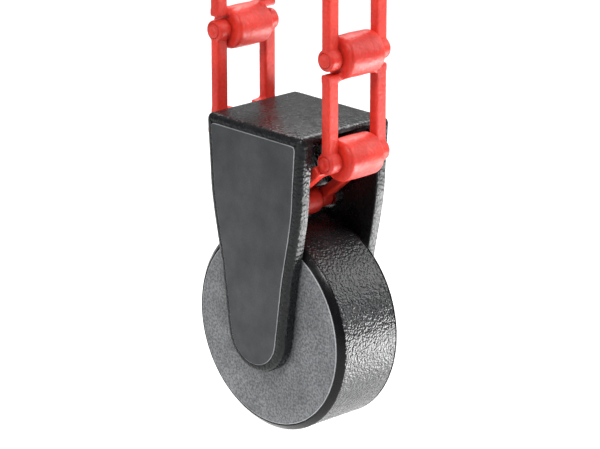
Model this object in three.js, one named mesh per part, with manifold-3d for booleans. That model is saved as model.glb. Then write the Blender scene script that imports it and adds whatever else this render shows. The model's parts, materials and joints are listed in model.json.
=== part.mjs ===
// A compact self retracting lifeline: a sealed line drum carried in a forked yoke, which hangs
// from two runs of cast red link chain pinned to an anchor plate overhead.
// Millimetres, +Z up. X runs along the drum shaft and Y across the two chain runs. The origin is
// the middle of the anchor plate's top face, where the device is bolted up.
import * as THREE from "three";
import { mergeVertices } from "three/addons/utils/BufferGeometryUtils.js";
import Module from "manifold-3d";

const wasm = await Module();
wasm.setup();

// ---- driving dimensions ----
const DRUM_R = 63.5; // over the band
const DRUM_W = 50; // over the two case faces
const RIM = 3.6; // chamfer round each case face
const CHEEK_GAP = 55; // between the yoke's cheeks
const CHEEK_T = 9;
const CAP_Z = 130; // top of the yoke above the shaft
const CAP_HALF = 41.6; // half the yoke's depth at its top
const CHEEK_END_R = 24.6; // round end of a cheek, about the shaft
const LINK_PITCH = 62;
const RUN_Y = 47.8; // each chain run's distance from the middle plane
const HANGER_Z = 74.5; // hanger pin above the shaft
const BARREL_R = 13;
const BARREL_HALF = 14;
const BAR_X = 19.5; // middle of a link's side bar
const BAR_W = 9;
const BAR_T = 6.5;
const PIN_R = 4.4;
const SHAFT_R = 7;
const SHAFT_END_R = 5; // where it passes through the cheeks
const FIT = 0.3; // gap kept between pieces that touch

// ---- worked out from them ----
const CHEEK_IN = CHEEK_GAP / 2;
const CHEEK_OUT = CHEEK_IN + CHEEK_T;
const LOWER_Z = HANGER_Z + Math.sqrt(LINK_PITCH ** 2 - RUN_Y ** 2); // lowest joint of a run
const MIDDLE_Z = LOWER_Z + LINK_PITCH;
const ANCHOR_PIN_Z = MIDDLE_Z + LINK_PITCH;
const PLATE_T = 8;
const PLATE_TOP_Z = ANCHOR_PIN_Z + 17 + PLATE_T;
const BAR_IN = BAR_X - BAR_W / 2;
const BAR_OUT = BAR_X + BAR_W / 2;
const LOWER_ANGLE = Math.atan2(RUN_Y, LOWER_Z - HANGER_Z); // slope of a lower link from the vertical

// ---- finishes ----
const finish = (colour, roughness, metalness) =>
  new THREE.MeshStandardMaterial({ color: colour, roughness, metalness });
const BLACK_PAINT = finish(0x24272a, 0.42, 0.2);
const COVER_GREY = finish(0x33373a, 0.5, 0.1);
const CASE_BLACK = finish(0x3a3c40, 0.62, 0);
const BAND_BLACK = finish(0x303236, 0.55, 0);
const LINK_RED = finish(0xd8322e, 0.38, 0.1);
const STEEL = finish(0xb9bcc0, 0.3, 0.9);
const SPRING_STEEL = finish(0x6f7782, 0.35, 0.9);
const BRONZE = finish(0xb07a3a, 0.4, 0.8);
const WEBBING = finish(0x1d1e20, 0.9, 0);
const SPOOL_GREY = finish(0x8a8d90, 0.6, 0.1);

// ---- solids ----
function toSolid(geometry) {
  const plain = geometry.index ? geometry.toNonIndexed() : geometry.clone();
  const bare = new THREE.BufferGeometry().setAttribute("position", plain.getAttribute("position"));
  const merged = mergeVertices(bare, 1e-4);
  return new wasm.Manifold(
    new wasm.Mesh({
      numProp: 3,
      vertProperties: new Float32Array(merged.attributes.position.array),
      triVerts: new Uint32Array(merged.index.array),
    }),
  );
}

function toGeometry(solid) {
  const mesh = solid.getMesh();
  return new THREE.BufferGeometry()
    .setAttribute("position", new THREE.BufferAttribute(mesh.vertProperties, 3))
    .setIndex(new THREE.BufferAttribute(mesh.triVerts, 1));
}

/** A cylinder along X from x0 to x1, about the line (y, z). */
function rod(radius, x0, x1, y = 0, z = 0, sides = 32) {
  const made = new THREE.CylinderGeometry(radius, radius, x1 - x0, sides);
  return toSolid(made.rotateZ(-Math.PI / 2).translate((x0 + x1) / 2, y, z));
}

/** A tube along X. */
function tube(outer, inner, x0, x1, y = 0, z = 0, sides = 32) {
  return rod(outer, x0, x1, y, z, sides).subtract(rod(inner, x0 - 1, x1 + 1, y, z, sides));
}

function block(x0, x1, y0, y1, z0, z1) {
  const made = new THREE.BoxGeometry(x1 - x0, y1 - y0, z1 - z0);
  return toSolid(made.translate((x0 + x1) / 2, (y0 + y1) / 2, (z0 + z1) / 2));
}

/** A solid of revolution about X from [x, radius] corners; it starts and ends on the axis or closes. */
function turned(corners, sides = 32) {
  const made = new THREE.LatheGeometry(
    corners.map(([x, r]) => new THREE.Vector2(r, x)),
    sides,
  );
  return toSolid(made.rotateZ(-Math.PI / 2));
}

/** A YZ outline run from x0 to x1, with its edges rounded by `round`. */
function slab(shape, x0, x1, round = 0, steps = 7, bevels = 3) {
  const made = new THREE.ExtrudeGeometry(shape, {
    depth: x1 - x0 - 2 * round,
    bevelEnabled: round > 0,
    bevelThickness: round,
    bevelSize: round,
    bevelOffset: -round,
    bevelSegments: bevels,
    curveSegments: steps,
  });
  const axes = new THREE.Matrix4().set(0, 0, 1, x0 + round, 1, 0, 0, 0, 0, 1, 0, 0, 0, 0, 0, 1);
  return toSolid(made.applyMatrix4(axes));
}

// ---- outlines in the YZ plane ----
/** A cheek's outline, `inset` inside its edge: round about the shaft, flaring to a wide flat top. */
function cheekOutline(inset, corner) {
  const lean = 0.134;
  const r = CHEEK_END_R - inset;
  const top = CAP_Z - inset;
  const flank = [[30.2, 38], [33, 54], [39.4, 76], [39.6, 95]];
  const right = flank.map(([y, z]) => [y - inset, z]);
  const left = right.map(([y, z]) => [-y, z]).reverse();
  const shape = new THREE.Shape();
  shape.moveTo(r * Math.cos(lean), -r * Math.sin(lean));
  shape.lineTo(...right[0]);
  shape.bezierCurveTo(...right[1], ...right[2], ...right[3]);
  shape.lineTo(CAP_HALF - inset, top - corner);
  shape.quadraticCurveTo(CAP_HALF - inset, top, CAP_HALF - inset - corner, top);
  shape.lineTo(inset + corner - CAP_HALF, top);
  shape.quadraticCurveTo(inset - CAP_HALF, top, inset - CAP_HALF, top - corner);
  shape.lineTo(...left[0]);
  shape.bezierCurveTo(...left[1], ...left[2], ...left[3]);
  shape.lineTo(-r * Math.cos(lean), -r * Math.sin(lean));
  shape.absarc(0, 0, r, Math.PI + lean, 2 * Math.PI - lean, false);
  return shape;
}

// ---- yoke ----
const COVER_EDGE = 5; // the cheek left showing round a cover
const COVER_RECESS = 1.5;
const COVER_PROUD = 0.7;
const SEAT_X = CHEEK_OUT - COVER_RECESS; // floor of the cover's recess
const NUT_POCKET_X = SEAT_X - 4;
const CLIP_POCKET_X = SEAT_X - 4;
const NUT_POCKET_R = 11;
const CLIP_POCKET_R = 9.5;
const coverOutline = (gap) => cheekOutline(COVER_EDGE + gap, 3);

function yokeFrame() {
  let frame = slab(cheekOutline(0, 5), -CHEEK_OUT, CHEEK_OUT, 3.5);
  const capUnder = CAP_Z - 9;
  frame = frame.subtract(block(-CHEEK_IN, CHEEK_IN, -60, 60, -60, capUnder));
  for (const side of [-1, 1]) {
    // room under the cap's lip for the run's lowest barrel
    frame = frame.subtract(rod(BARREL_R + 2.2, -CHEEK_IN, CHEEK_IN, side * RUN_Y, LOWER_Z, 32));
    const x = (a, b) => (side > 0 ? [a, b] : [-b, -a]);
    frame = frame.subtract(slab(coverOutline(0), ...x(SEAT_X, CHEEK_OUT + 1)));
    frame = frame.subtract(rod(NUT_POCKET_R, ...x(NUT_POCKET_X, SEAT_X + 1), 0, 0, 24));
    frame = frame.subtract(rod(CLIP_POCKET_R, ...x(CLIP_POCKET_X, SEAT_X + 1), 0, HANGER_Z, 24));
  }
  frame = frame.subtract(rod(SHAFT_END_R + FIT, -CHEEK_OUT - 1, CHEEK_OUT + 1, 0, 0, 24));
  return frame.subtract(rod(PIN_R + FIT, -CHEEK_OUT - 1, CHEEK_OUT + 1, 0, HANGER_Z, 24));
}

function cheekCover(side) {
  const [x0, x1] = [SEAT_X + FIT, CHEEK_OUT + COVER_PROUD];
  const ends = side > 0 ? [x0, x1] : [-x1, -x0];
  return slab(coverOutline(FIT), ...ends, 0.7, 7, 1);
}

// ---- shaft and hanger pin ----
const SHOULDER_X = CHEEK_IN - FIT;
const NUT_T = 3.2;
const NUT_X = NUT_POCKET_X + FIT;

function drumShaft() {
  return turned([
    [-NUT_X - NUT_T - 0.4, 0],
    [-NUT_X - NUT_T - 0.4, SHAFT_END_R],
    [-SHOULDER_X, SHAFT_END_R],
    [-SHOULDER_X, SHAFT_R],
    [SHOULDER_X, SHAFT_R],
    [SHOULDER_X, SHAFT_END_R],
    [NUT_X + NUT_T + 0.4, SHAFT_END_R],
    [NUT_X + NUT_T + 0.4, 0],
  ]);
}

function shaftNut(side) {
  const [x0, x1] = side > 0 ? [NUT_X, NUT_X + NUT_T] : [-NUT_X - NUT_T, -NUT_X];
  return rod(9.2, x0, x1, 0, 0, 6).subtract(rod(SHAFT_END_R + FIT, x0 - 1, x1 + 1, 0, 0, 24));
}

const CLIP_X = CLIP_POCKET_X + 0.6;
const CLIP_T = 1.2;

function hangerPin() {
  const end = CLIP_X + CLIP_T + 1.4;
  const groove = (side) => {
    const [x0, x1] = side > 0 ? [CLIP_X - 0.3, CLIP_X + CLIP_T + 0.3] : [-CLIP_X - CLIP_T - 0.3, 0.3 - CLIP_X];
    return tube(PIN_R + 1, PIN_R - 0.9, x0, x1, 0, HANGER_Z, 24);
  };
  return rod(PIN_R, -end, end, 0, HANGER_Z, 24).subtract(groove(1)).subtract(groove(-1));
}

function hangerClip(side) {
  const [x0, x1] = side > 0 ? [CLIP_X, CLIP_X + CLIP_T] : [-CLIP_X - CLIP_T, -CLIP_X];
  const ring = tube(7.6, PIN_R - 0.6, x0, x1, 0, HANGER_Z, 24);
  return ring.subtract(block(x0 - 1, x1 + 1, -3, 3, HANGER_Z - 12, HANGER_Z));
}

const hangerSpacer = (side) => {
  const [x0, x1] = [BAR_OUT + 0.5, CHEEK_IN - FIT];
  return tube(8, PIN_R + FIT, side > 0 ? x0 : -x1, side > 0 ? x1 : -x0, 0, HANGER_Z, 24);
};

const caseWasher = (side) => {
  const [x0, x1] = [DRUM_W / 2 + FIT, CHEEK_IN - FIT];
  return tube(14, SHAFT_R + FIT, side > 0 ? x0 : -x1, side > 0 ? x1 : -x0);
};

// ---- drum case and band ----
const CASE_WALL = 2.5;
const PLATE = 3; // case face thickness
const BAND_T = 3;
const BAND_HALF = DRUM_W / 2 - RIM - 0.6;
const CASE_R = DRUM_R - BAND_T - FIT; // under the band
const CASE_IN_R = CASE_R - CASE_WALL;
const CASE_IN_X = DRUM_W / 2 - PLATE;
const COVER_X = [-13.4, -12.4]; // spring cover
const RING_X = [13.9, 19.9]; // ratchet ring
const SPRING_OUT = 47.7; // the power spring's outer coil
const SCREW_RING_R = 53;
const SCREW_R = 1.9;
const SCREWS = 4;
const SLOT_W = 24; // line outlet, along X
const SLOT_T = 10;
const screwPlace = (i) => {
  const angle = Math.PI / 4 + (i * 2 * Math.PI) / SCREWS;
  return [SCREW_RING_R * Math.cos(angle), SCREW_RING_R * Math.sin(angle)];
};
const outletHole = (grow) =>
  block(-SLOT_W / 2 - grow, SLOT_W / 2 + grow, -SLOT_T / 2 - grow, SLOT_T / 2 + grow, -DRUM_R - 3, -50);

/** A cup with its face at -X; the right half is the same cup turned end for end. */
function caseCup() {
  return turned([
    [-DRUM_W / 2, SHAFT_R + FIT],
    [-DRUM_W / 2, DRUM_R - RIM],
    [-DRUM_W / 2 + RIM, DRUM_R],
    [-BAND_HALF - FIT, DRUM_R],
    [-BAND_HALF - FIT, CASE_R],
    [-FIT / 2, CASE_R],
    [-FIT / 2, CASE_IN_R],
    [-CASE_IN_X, CASE_IN_R],
    [-CASE_IN_X, SHAFT_R + FIT],
    [-DRUM_W / 2, SHAFT_R + FIT],
  ], 48);
}

function leftCase() {
  let cup = caseCup();
  for (let i = 0; i < SCREWS; i++) {
    const [y, z] = screwPlace(i);
    const post = rod(3.6, -CASE_IN_X - 1, COVER_X[0] - FIT, y, z, 16);
    cup = cup.add(post).subtract(rod(SCREW_R + FIT, -20.5, 1, y, z, 12));
  }
  const hook = block(-CASE_IN_X - 1, -14, -3, 3, -CASE_IN_R - 1, -SPRING_OUT - 0.8); // holds the power spring
  return cup.add(hook).subtract(outletHole(0.3));
}

function rightCase() {
  let cup = toSolid(toGeometry(caseCup()).applyMatrix4(new THREE.Matrix4().makeRotationZ(Math.PI)));
  for (let i = 0; i < SCREWS; i++) {
    const [y, z] = screwPlace(i);
    const boss = rod(3.6, RING_X[1] + FIT, CASE_IN_X + 1, y, z, 16);
    cup = cup.add(boss).subtract(rod(SCREW_R + FIT, 10, 40, y, z, 12)).subtract(rod(3.7, 23, 40, y, z, 16));
  }
  return cup.subtract(outletHole(0.3));
}

function caseScrew(i) {
  const [y, z] = screwPlace(i);
  const head = rod(3.4, 23.3, 24.7, y, z, 16);
  const slot = block(24, 26, y - 2.4, y + 2.4, z - 0.5, z + 0.5);
  return rod(SCREW_R, -20, 24, y, z, 12).add(head).subtract(slot);
}

const drumBand = () => tube(DRUM_R, CASE_R + FIT, -BAND_HALF, BAND_HALF, 0, 0, 48).subtract(outletHole(0.3));

function lineOutlet() {
  const inner = block(-SLOT_W / 2 + 2, SLOT_W / 2 - 2, -SLOT_T / 2 + 1.8, SLOT_T / 2 - 1.8, -80, -40);
  return outletHole(0).intersect(rod(DRUM_R - 0.4, -20, 20, 0, 0, 48)).subtract(inner);
}

// ---- inside the drum ----
const SPRING_X = [-21, -14];
const FLANGE_R = 46;
const SPOOL_X = [-11.8, 13.6]; // outer faces of the two flanges
const FLANGE_T = 2;
const CORE_R = 20;
const LINE_R = 41; // wound line
const PAWL_X = [14.1, 18.1];
const RING_TIP_R = 47.6;
const RING_TEETH = 12;
const ARBOR_R = 10.6;
const BUSH_R = 9;

function spool() {
  const body = rod(CORE_R, SPOOL_X[0], SPOOL_X[1] - FLANGE_T)
    .add(rod(FLANGE_R, SPOOL_X[0], SPOOL_X[0] + FLANGE_T, 0, 0, 48))
    .add(rod(ARBOR_R, -21, SPOOL_X[0] + 1))
    .add(rod(12, SPOOL_X[1] - FLANGE_T - 1, 20.6));
  const slot = block(-23, -13.6, -0.6, 0.6, -12, -8); // takes the spring's inner end
  return body.subtract(slot).subtract(rod(BUSH_R + 0.15, -30, 30));
}

function spoolFlange() {
  const ring = tube(FLANGE_R, 12 + FIT, SPOOL_X[1] - FLANGE_T + FIT, SPOOL_X[1], 0, 0, 48);
  return ring.subtract(pawlPinHole(0)).subtract(pawlPinHole(1));
}

const spoolBush = (side) => {
  const [x0, x1] = side > 0 ? [12.5, 20.4] : [-20.8, -12.5];
  return tube(BUSH_R, SHAFT_R + 0.12, x0, x1);
};

const woundLine = () =>
  tube(LINE_R, CORE_R + FIT, SPOOL_X[0] + FLANGE_T + FIT, SPOOL_X[1] - FLANGE_T, 0, 0, 48);

const springCover = () => {
  let plate = tube(CASE_IN_R - 0.5, ARBOR_R + 1, ...COVER_X, 0, 0, 48);
  for (let i = 0; i < SCREWS; i++) {
    const [y, z] = screwPlace(i);
    plate = plate.subtract(rod(SCREW_R + FIT, COVER_X[0] - 1, COVER_X[1] + 1, y, z, 12));
  }
  return plate;
};

/** A flat steel strip coiled from the spool's arbor out to the case's hook. */
function powerSpring() {
  const turns = 5;
  const inner = ARBOR_R + 0.9;
  const outer = SPRING_OUT;
  const points = [];
  const steps = turns * 14;
  for (let i = 0; i <= steps; i++) {
    const share = i / steps;
    const angle = -Math.PI / 2 + share * turns * 2 * Math.PI;
    const r = inner + (outer - inner) * share;
    points.push([r * Math.cos(angle), r * Math.sin(angle), angle]);
  }
  const half = 0.5;
  const edge = (side) => points.map(([y, z, a]) => new THREE.Vector2(y + side * half * Math.cos(a), z + side * half * Math.sin(a)));
  const shape = new THREE.Shape([...edge(1), ...edge(-1).reverse()]);
  return slab(shape, ...SPRING_X);
}

function ratchetRing() {
  const shape = new THREE.Shape();
  shape.absarc(0, 0, CASE_IN_R - 0.5, 0, 2 * Math.PI, false);
  const hole = new THREE.Path();
  const step = (2 * Math.PI) / RING_TEETH;
  const root = RING_TIP_R + 2.6;
  for (let i = 0; i < RING_TEETH; i++) {
    const tip = (i + 0.5) * step; // a ramp out from each tip, then a square wall back to the next one
    const corners = [[RING_TIP_R, tip], [root, tip + 0.3 * step], [root, tip + 0.6 * step], [root, tip + step - 0.02]];
    for (const [r, angle] of corners) {
      const at = [r * Math.cos(angle), r * Math.sin(angle)];
      if (i === 0 && angle === tip) hole.moveTo(...at);
      else hole.lineTo(...at);
    }
  }
  hole.closePath();
  shape.holes.push(hole);
  let ring = slab(shape, ...RING_X, 0, 32);
  for (let i = 0; i < SCREWS; i++) ring = ring.subtract(rod(SCREW_R + FIT, 10, 30, ...screwPlace(i), 12));
  return ring;
}

// two pawls, half a turn apart on the right flange
const PAWL_PIVOT_R = 33;
const PAWL_PIN_R = 1.8;
const pawlTurn = (i) => i * Math.PI;
const pawlPivot = (i) => [PAWL_PIVOT_R * Math.cos(pawlTurn(i)), PAWL_PIVOT_R * Math.sin(pawlTurn(i))];
const pawlPinHole = (i) => rod(PAWL_PIN_R + 0.2, 0, 30, ...pawlPivot(i), 20);

function pawlPin(i) {
  const [y, z] = pawlPivot(i);
  const shank = rod(PAWL_PIN_R, SPOOL_X[1] - FLANGE_T + 0.2, PAWL_X[1] + 1.5, y, z, 20);
  return shank.add(rod(3, PAWL_X[1] + 0.3, PAWL_X[1] + 1.5, y, z, 20));
}

/** A hooked pawl: an eye on its pin, a beak that reaches forward, and a heavy tail. */
function pawl(i) {
  const eye = 4.4;
  const shape = new THREE.Shape();
  shape.moveTo(PAWL_PIVOT_R - eye, -8);
  shape.lineTo(PAWL_PIVOT_R - eye, 2);
  shape.quadraticCurveTo(PAWL_PIVOT_R - eye, 10, PAWL_PIVOT_R, 16);
  shape.lineTo(PAWL_PIVOT_R + 7, 22.5);
  shape.lineTo(PAWL_PIVOT_R + 8.4, 18.5);
  shape.quadraticCurveTo(PAWL_PIVOT_R + 6, 10, PAWL_PIVOT_R + eye, 2);
  shape.lineTo(PAWL_PIVOT_R + eye, -10);
  shape.quadraticCurveTo(PAWL_PIVOT_R, -14, PAWL_PIVOT_R - eye, -8);
  const flat = slab(shape, ...PAWL_X, 0, 5);
  const turnedRound = toGeometry(flat).applyMatrix4(new THREE.Matrix4().makeRotationX(pawlTurn(i)));
  return toSolid(turnedRound).subtract(pawlPinHole(i));
}

/** A hairpin wire that holds a pawl in: one leg on the flange's hub, one behind the pawl's tail. */
function pawlSpring(i) {
  const x = PAWL_X[0] + 2;
  const path = new THREE.CatmullRomCurve3([
    new THREE.Vector3(x, 13, 0),
    new THREE.Vector3(x, 19, -2),
    new THREE.Vector3(x, 23, -7),
    new THREE.Vector3(x, 26.2, -11),
  ]);
  const wire = new THREE.Shape();
  wire.absarc(0, 0, 0.6, 0, 2 * Math.PI, false);
  const made = new THREE.ExtrudeGeometry(wire, {
    steps: 10,
    extrudePath: path,
    curveSegments: 3,
    bevelEnabled: false,
  });
  return toSolid(made.applyMatrix4(new THREE.Matrix4().makeRotationX(pawlTurn(i))));
}

// ---- chain ----
const EYE_R = 6.6;
const SHOULDER = 8.8; // a link's bars start this far from its barrel's middle

/** A cast link: its barrel about the origin, its two eyes one pitch below. */
function chainLink(barrelR, barrelHalf) {
  const foot = -LINK_PITCH;
  let link = rod(barrelR, -barrelHalf, barrelHalf, 0, 0, 24);
  for (const side of [-1, 1]) {
    const x = (a, b) => (side > 0 ? [a, b] : [-b, -a]);
    link = link
      .add(block(...x(BAR_IN, BAR_OUT), -BAR_T / 2, BAR_T / 2, foot, -SHOULDER))
      .add(block(...x(barrelHalf - 3, BAR_OUT), -BAR_T / 2, BAR_T / 2, -SHOULDER - 4.4, -SHOULDER))
      .add(block(...x(barrelHalf - 4, barrelHalf), -BAR_T / 2, BAR_T / 2, -SHOULDER - 4.4, -6))
      .add(rod(EYE_R, ...x(BAR_IN, BAR_OUT), 0, foot, 16));
  }
  return link.subtract(rod(PIN_R + FIT, -40, 40, 0, 0, 16)).subtract(rod(PIN_R + FIT, -40, 40, 0, foot, 16));
}

/** A pin through two eyes and the barrel between them, peened flush at both ends. */
function linkPin() {
  const end = (side) => [[0.2, PIN_R], [0.7, PIN_R - 0.7], [0.7, 0]].map(([dx, r]) => [side * (BAR_OUT + dx), r]);
  return turned([...end(-1).reverse(), ...end(1)], 16);
}

// ---- anchor plate ----
const PLATE_HALF_X = 38;
const PLATE_HALF_Y = 68;
const BOLT_X = 26;
const BOLT_Y = 0;

function anchorPlate() {
  const outline = new THREE.Shape();
  const [hx, hy, corner] = [PLATE_HALF_X, PLATE_HALF_Y, 10];
  outline.moveTo(-hx + corner, -hy);
  outline.lineTo(hx - corner, -hy);
  outline.absarc(hx - corner, -hy + corner, corner, -Math.PI / 2, 0, false);
  outline.lineTo(hx, hy - corner);
  outline.absarc(hx - corner, hy - corner, corner, 0, Math.PI / 2, false);
  outline.lineTo(-hx + corner, hy);
  outline.absarc(-hx + corner, hy - corner, corner, Math.PI / 2, Math.PI, false);
  outline.lineTo(-hx, -hy + corner);
  outline.absarc(-hx + corner, -hy + corner, corner, Math.PI, 1.5 * Math.PI, false);
  for (const [x, y] of [[-BOLT_X, BOLT_Y], [BOLT_X, BOLT_Y]]) {
    const hole = new THREE.Path();
    hole.absarc(x, y, 6.5, 0, 2 * Math.PI, true);
    outline.holes.push(hole);
  }
  const sheet = new THREE.ExtrudeGeometry(outline, { depth: PLATE_T, bevelEnabled: false, curveSegments: 5 });
  let plate = toSolid(sheet.translate(0, 0, PLATE_TOP_Z - PLATE_T));
  const top = PLATE_TOP_Z - PLATE_T + 1;
  const ear = (r, x0, x1, y) =>
    rod(r, x0, x1, y, ANCHOR_PIN_Z, 20)
      .add(block(x0, x1, y - r, y + r, ANCHOR_PIN_Z, top))
      .subtract(rod(PIN_R + FIT, x0 - 1, x1 + 1, y, ANCHOR_PIN_Z, 20));
  // the front run's barrel sits between two ears, the back run's eyes straddle one
  plate = plate.add(ear(7.6, BAR_IN + 0.4, BAR_OUT, -RUN_Y)).add(ear(7.6, -BAR_OUT, -BAR_IN - 0.4, -RUN_Y));
  return plate.add(ear(10.5, -BARREL_HALF, BARREL_HALF, RUN_Y));
}

// ---- assembly ----
const device = new THREE.Group();
device.position.z = -PLATE_TOP_Z;

function place(name, solid, material, parent = device) {
  const mesh = new THREE.Mesh(toGeometry(solid), material);
  mesh.name = name;
  parent.add(mesh);
  return mesh;
}

place("anchor_plate", anchorPlate(), STEEL);

// each link hangs from its barrel's joint, turned about X so that its eyes reach the next joint
const LINKS = [
  ["front_upper", -RUN_Y, ANCHOR_PIN_Z, 0],
  ["front_middle", -RUN_Y, MIDDLE_Z, 0],
  ["front_lower", -RUN_Y, LOWER_Z, LOWER_ANGLE],
  ["back_lower", 0, HANGER_Z, Math.PI - LOWER_ANGLE],
  ["back_middle", RUN_Y, LOWER_Z, Math.PI],
  ["back_upper", RUN_Y, MIDDLE_Z, Math.PI],
];
// the centre barrel clears the drum below it, and the back one the cap's lip over it
const SLIMMER = { back_lower: 9, back_middle: 10.4 };
for (const [name, y, z, turn] of LINKS) {
  const joint = new THREE.Group();
  joint.position.set(0, y, z);
  joint.rotation.x = turn;
  device.add(joint);
  place(name + "_link", chainLink(SLIMMER[name] ?? BARREL_R, BARREL_HALF), LINK_RED, joint);
}
const PINS = {
  front_anchor_pin: [-RUN_Y, ANCHOR_PIN_Z],
  front_middle_pin: [-RUN_Y, MIDDLE_Z],
  front_lower_pin: [-RUN_Y, LOWER_Z],
  back_lower_pin: [RUN_Y, LOWER_Z],
  back_middle_pin: [RUN_Y, MIDDLE_Z],
  back_anchor_pin: [RUN_Y, ANCHOR_PIN_Z],
};
for (const [name, [y, z]] of Object.entries(PINS)) {
  const joint = new THREE.Group();
  joint.position.set(0, y, z);
  device.add(joint);
  place(name, linkPin(), LINK_RED, joint);
}

place("yoke_frame", yokeFrame(), BLACK_PAINT);
place("drum_shaft", drumShaft(), STEEL);
place("hanger_pin", hangerPin(), STEEL);
for (const [word, side] of [["left", -1], ["right", 1]]) {
  place(word + "_cheek_cover", cheekCover(side), COVER_GREY);
  place(word + "_shaft_nut", shaftNut(side), STEEL);
  place(word + "_hanger_clip", hangerClip(side), SPRING_STEEL);
  place(word + "_hanger_spacer", hangerSpacer(side), STEEL);
  place(word + "_case_washer", caseWasher(side), BRONZE);
  place(word + "_spool_bush", spoolBush(side), BRONZE);
}
place("left_case", leftCase(), CASE_BLACK);
place("right_case", rightCase(), CASE_BLACK);
place("drum_band", drumBand(), BAND_BLACK);
place("line_outlet", lineOutlet(), BLACK_PAINT);
for (let i = 0; i < SCREWS; i++) place("case_screw_" + (i + 1), caseScrew(i), STEEL);
place("spring_cover", springCover(), STEEL);
place("power_spring", powerSpring(), SPRING_STEEL);
place("spool", spool(), SPOOL_GREY);
place("spool_flange", spoolFlange(), SPOOL_GREY);
place("wound_line", woundLine(), WEBBING);
place("ratchet_ring", ratchetRing(), STEEL);
for (const i of [0, 1]) {
  place("pawl_" + (i + 1), pawl(i), STEEL);
  place("pawl_pin_" + (i + 1), pawlPin(i), STEEL);
  place("pawl_spring_" + (i + 1), pawlSpring(i), SPRING_STEEL);
}

export default device;
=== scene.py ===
"""A self retracting lifeline that hangs from two runs of red link chain.

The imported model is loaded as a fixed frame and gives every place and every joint. This script
gives it its looks: the visible pieces are modelled again with rounded, textured shapes, the inner
pieces keep their solids, and all of them get a procedural finish.
"""

import json
import logging
import math
from dataclasses import dataclass, replace
from enum import Enum
from typing import Callable, ClassVar, Sequence

import bpy
from mathutils import Matrix, Vector

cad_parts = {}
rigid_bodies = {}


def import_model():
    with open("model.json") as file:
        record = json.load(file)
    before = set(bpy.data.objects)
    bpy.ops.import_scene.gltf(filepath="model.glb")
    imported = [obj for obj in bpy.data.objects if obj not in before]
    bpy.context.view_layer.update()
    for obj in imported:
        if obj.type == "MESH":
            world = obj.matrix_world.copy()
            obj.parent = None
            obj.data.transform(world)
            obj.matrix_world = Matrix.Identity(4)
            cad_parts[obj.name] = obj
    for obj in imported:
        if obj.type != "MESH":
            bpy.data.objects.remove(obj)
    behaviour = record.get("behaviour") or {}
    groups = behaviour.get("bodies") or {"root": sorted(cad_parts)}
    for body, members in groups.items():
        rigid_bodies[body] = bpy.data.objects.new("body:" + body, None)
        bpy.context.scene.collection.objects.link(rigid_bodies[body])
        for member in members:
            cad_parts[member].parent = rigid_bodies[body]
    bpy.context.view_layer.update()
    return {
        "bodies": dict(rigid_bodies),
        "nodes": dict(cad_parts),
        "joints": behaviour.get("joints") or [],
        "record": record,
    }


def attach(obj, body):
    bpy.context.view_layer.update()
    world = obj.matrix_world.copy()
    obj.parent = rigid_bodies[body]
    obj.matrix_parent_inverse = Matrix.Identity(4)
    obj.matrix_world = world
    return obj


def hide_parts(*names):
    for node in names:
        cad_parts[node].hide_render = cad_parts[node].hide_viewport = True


LOG = logging.getLogger("lifeline")
Point = tuple[float, float]
Triple = tuple[float, float, float]
Piece = bpy.types.Object
Tree = bpy.types.NodeTree
Socket = bpy.types.NodeSocket
Rule = Callable[[Vector, Vector], bool]

MM = 0.001  # a millimetre, in metres
MERGE = 2e-6  # how close two vertices are to be merged, in metres
NEAR = 0.01  # how far off a plane a point still counts as on it, in millimetres
SQUARE = 0.999  # how much of a normal lies along an axis that its face looks along


# ---------------------------------------------------------------- finishes


class Grain(Enum):
    """The kinds of small relief a surface can carry."""

    FINE = "fine"  # the grain of a moulded plastic
    HIDE = "hide"  # rounded cells with creases between them
    CAST = "cast"  # the soft lumps of a sand casting under paint
    BRUSHED = "brushed"  # fine lines round the X axis
    WOVEN = "woven"  # crossed threads


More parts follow.
